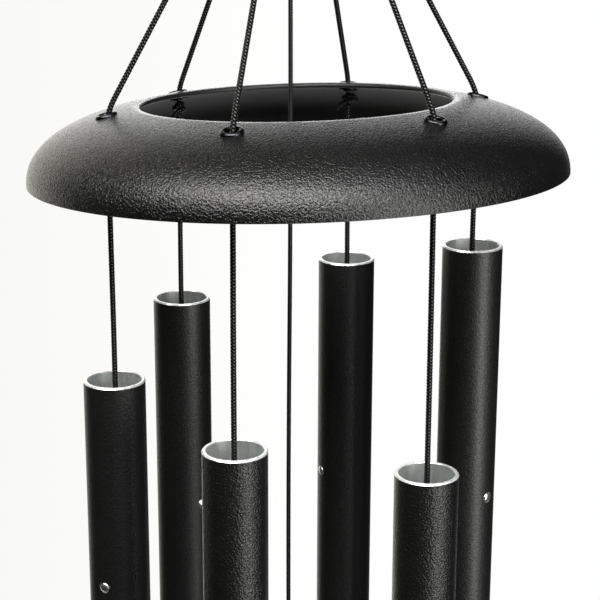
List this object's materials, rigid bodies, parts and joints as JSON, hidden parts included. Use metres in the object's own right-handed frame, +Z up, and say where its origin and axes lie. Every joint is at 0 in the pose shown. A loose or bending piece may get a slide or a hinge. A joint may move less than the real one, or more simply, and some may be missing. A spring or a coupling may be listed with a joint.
{
  "type": "wind chime",
  "caption": "Wind chime: tuned black tubes on braided cords under a domed open halo, with a disc striker and a wind sail, hung from one ring.",
  "frame": {"origin": "the point at the top inside of the hanging ring that bears on a hook", "axes": "+Z up, -Y towards the front, +X to the right seen from the front"},
  "size_m": [0.2185, 0.2184, 0.8902],
  "materials": {
    "powder_coat": "black wrinkle-textured powder coat over aluminium",
    "steel": "bright welded stainless ring",
    "cord": "tight black braid",
    "eyelet": "gloss black rolled eyelet",
    "pin": "bright turned rod",
    "striker": "fine moulded grain"
  },
  "bodies": {
    "hanger": {"hanging_ring": "steel"},
    "halo_frame": {"hang_loops": "cord", "gather_knot": "cord", "halo": "powder_coat", "halo_cord_1": "cord", "halo_cord_2": "cord", "halo_cord_3": "cord", "halo_cord_4": "cord", "halo_cord_5": "cord", "halo_cord_6": "cord", "eyelet_1": "eyelet", "eyelet_2": "eyelet", "eyelet_3": "eyelet", "eyelet_4": "eyelet", "eyelet_5": "eyelet", "eyelet_6": "eyelet"},
    "knot_1": {"stopper_knot_1": "cord"},
    "line_1": {"tube_cord_1": "cord", "pin_hitch_1": "cord"},
    "tube_1_body": {"tube_1": "powder_coat", "tube_pin_1": "pin"},
    "knot_2": {"stopper_knot_2": "cord"},
    "line_2": {"tube_cord_2": "cord", "pin_hitch_2": "cord"},
    "tube_2_body": {"tube_2": "powder_coat", "tube_pin_2": "pin"},
    "knot_3": {"stopper_knot_3": "cord"},
    "line_3": {"tube_cord_3": "cord", "pin_hitch_3": "cord"},
    "tube_3_body": {"tube_3": "powder_coat", "tube_pin_3": "pin"},
    "knot_4": {"stopper_knot_4": "cord"},
    "line_4": {"tube_cord_4": "cord", "pin_hitch_4": "cord"},
    "tube_4_body": {"tube_4": "powder_coat", "tube_pin_4": "pin"},
    "knot_5": {"stopper_knot_5": "cord"},
    "line_5": {"tube_cord_5": "cord", "pin_hitch_5": "cord"},
    "tube_5_body": {"tube_5": "powder_coat", "tube_pin_5": "pin"},
    "knot_6": {"stopper_knot_6": "cord"},
    "line_6": {"tube_cord_6": "cord", "pin_hitch_6": "cord"},
    "tube_6_body": {"tube_6": "powder_coat", "tube_pin_6": "pin"},
    "centre_knot_body": {"centre_knot": "cord"},
    "striker_line": {"centre_cord": "cord", "striker_knot": "cord"},
    "striker_disc": {"striker": "striker"},
    "sail_knot_body": {"sail_knot": "cord"},
    "sail_line": {"sail_cord": "cord"},
    "sail_link": {"sail_hitch": "cord", "sail_ring": "steel"},
    "sail_body": {"sail": "powder_coat", "sail_eyelet": "eyelet"}
  },
  "joints": [
    {"name": "chime_swing", "type": "hinge", "parent": "hanger", "child": "halo_frame", "pos_m": [0, 0, -0.02675], "axis": [1, 0, 0], "range_deg": [-20, 20]},
    {"name": "tube_1_swing_out", "type": "hinge", "parent": "halo_frame", "child": "knot_1", "pos_m": [0.07445, 0.01663, -0.18215], "axis": [0.2181, -0.9759, 0], "range_deg": [-2.8, 10]},
    {"name": "tube_1_swing_round", "type": "hinge", "parent": "knot_1", "child": "line_1", "pos_m": [0.07445, 0.01663, -0.18215], "axis": [0.9759, 0.2181, 0], "range_deg": [-4, 4]},
    {"name": "tube_1_rock", "type": "hinge", "parent": "line_1", "child": "tube_1_body", "pos_m": [0.07445, 0.01663, -0.34956], "axis": [-0.6997, 0.7145, 0], "range_deg": [-4.5, 4.5]},
    {"name": "tube_2_swing_out", "type": "hinge", "parent": "halo_frame", "child": "knot_2", "pos_m": [0.02286, 0.07267, -0.1857], "axis": [0.9542, -0.299, 0], "range_deg": [-2.8, 10]},
    {"name": "tube_2_swing_round", "type": "hinge", "parent": "knot_2", "child": "line_2", "pos_m": [0.02286, 0.07267, -0.1857], "axis": [0.299, 0.9542, 0], "range_deg": [-4, 4]},
    {"name": "tube_2_rock", "type": "hinge", "parent": "line_2", "child": "tube_2_body", "pos_m": [0.02286, 0.07267, -0.36037], "axis": [-0.8878, -0.4602, 0], "range_deg": [-4.5, 4.5]},
    {"name": "tube_3_swing_out", "type": "hinge", "parent": "halo_frame", "child": "knot_3", "pos_m": [-0.05153, 0.05597, -0.18735], "axis": [0.7361, 0.6769, 0], "range_deg": [-2.8, 10]},
    {"name": "tube_3_swing_round", "type": "hinge", "parent": "knot_3", "child": "line_3", "pos_m": [-0.05153, 0.05597, -0.18735], "axis": [-0.6769, 0.7361, 0], "range_deg": [-4, 4]},
    {"name": "tube_3_rock", "type": "hinge", "parent": "line_3", "child": "tube_3_body", "pos_m": [-0.05153, 0.05597, -0.36898], "axis": [0.6652, -0.7466, 0], "range_deg": [-4.5, 4.5]},
    {"name": "tube_4_swing_out", "type": "hinge", "parent": "halo_frame", "child": "knot_4", "pos_m": [-0.07432, -0.01678, -0.18546], "axis": [0.2181, -0.9759, 0], "range_deg": [-10, 2.8]},
    {"name": "tube_4_swing_round", "type": "hinge", "parent": "knot_4", "child": "line_4", "pos_m": [-0.07432, -0.01678, -0.18546], "axis": [-0.9759, -0.2181, 0], "range_deg": [-4, 4]},
    {"name": "tube_4_rock", "type": "hinge", "parent": "line_4", "child": "tube_4_body", "pos_m": [-0.07432, -0.01678, -0.37593], "axis": [0.4099, 0.9121, 0], "range_deg": [-4.5, 4.5]},
    {"name": "tube_5_swing_out", "type": "hinge", "parent": "halo_frame", "child": "knot_5", "pos_m": [-0.02273, -0.07282, -0.18191], "axis": [0.9542, -0.299, 0], "range_deg": [-10, 2.8]},
    {"name": "tube_5_swing_round", "type": "hinge", "parent": "knot_5", "child": "line_5", "pos_m": [-0.02273, -0.07282, -0.18191], "axis": [-0.299, -0.9542, 0], "range_deg": [-4, 4]},
    {"name": "tube_5_rock", "type": "hinge", "parent": "line_5", "child": "tube_5_body", "pos_m": [-0.02273, -0.07282, -0.3805], "axis": [-0.9511, 0.309, 0], "range_deg": [-4.5, 4.5]},
    {"name": "tube_6_swing_out", "type": "hinge", "parent": "halo_frame", "child": "knot_6", "pos_m": [0.05166, -0.05612, -0.18026], "axis": [0.7361, 0.6769, 0], "range_deg": [-10, 2.8]},
    {"name": "tube_6_swing_round", "type": "hinge", "parent": "knot_6", "child": "line_6", "pos_m": [0.05166, -0.05612, -0.18026], "axis": [0.6769, -0.7361, 0], "range_deg": [-4, 4]},
    {"name": "tube_6_rock", "type": "hinge", "parent": "line_6", "child": "tube_6_body", "pos_m": [0.05166, -0.05612, -0.39145], "axis": [-0.7431, -0.6691, 0], "range_deg": [-4.5, 4.5]},
    {"name": "striker_swing_fore", "type": "hinge", "parent": "halo_frame", "child": "centre_knot_body", "pos_m": [-0.0026, 0, -0.05155], "axis": [1, 0, 0], "range_deg": [-2.5, 2.8]},
    {"name": "striker_swing_side", "type": "hinge", "parent": "centre_knot_body", "child": "striker_line", "pos_m": [-0.0026, 0, -0.05155], "axis": [0, -1, 0], "range_deg": [-2.2, 2.8]},
    {"name": "striker_spin", "type": "hinge", "parent": "striker_line", "child": "striker_disc", "pos_m": [-0.0026, 0, -0.4875], "axis": [0, 0, 1], "continuous": true},
    {"name": "sail_swing_fore", "type": "hinge", "parent": "striker_line", "child": "sail_knot_body", "pos_m": [-0.0026, 0, -0.5077], "axis": [1, 0, 0], "range_deg": [-11, 11]},
    {"name": "sail_swing_side", "type": "hinge", "parent": "sail_knot_body", "child": "sail_line", "pos_m": [-0.0026, 0, -0.5077], "axis": [0, -1, 0], "range_deg": [-11, 11]},
    {"name": "sail_turn", "type": "hinge", "parent": "sail_line", "child": "sail_link", "pos_m": [-0.0026, 0, -0.7596], "axis": [0, 0, 1], "range_deg": [-180, 180]},
    {"name": "sail_tilt", "type": "hinge", "parent": "sail_link", "child": "sail_body", "pos_m": [-0.0026, 0, -0.7744], "axis": [0, 1, 0], "range_deg": [-35, 35]}
  ]
}
